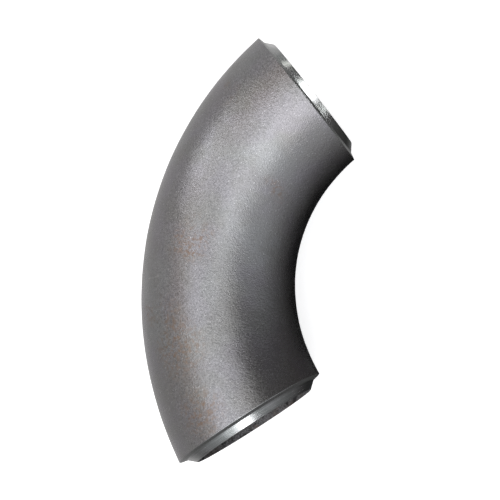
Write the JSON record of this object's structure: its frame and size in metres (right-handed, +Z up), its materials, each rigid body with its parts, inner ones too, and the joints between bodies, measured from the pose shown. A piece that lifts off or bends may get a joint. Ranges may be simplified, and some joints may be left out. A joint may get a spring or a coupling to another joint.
{
  "type": "butt-weld pipe elbow",
  "caption": "Long-radius 90 degree butt-weld pipe elbow in thick-walled steel, with a compound weld bevel and a narrow root face at each open end.",
  "frame": {"origin": "centre of the first weld end, on the plane of its root face", "axes": "the elbow lies flat: the bend is in the XY plane and +Z is up. -X is the outward direction of the first weld end (weld_end_a). The bend turns about the point (0, 0.5334, 0) m, and the second weld end (weld_end_b) is centred on (0.5334, 0.5334, 0) m and faces +Y"},
  "size_m": [0.711, 0.711, 0.3556],
  "materials": {
    "steel": "shot-blasted matt grey carbon steel, bare; weld bevels and root faces machined bright"
  },
  "bodies": {
    "root": {"elbow_body": "steel"}
  },
  "joints": []
}
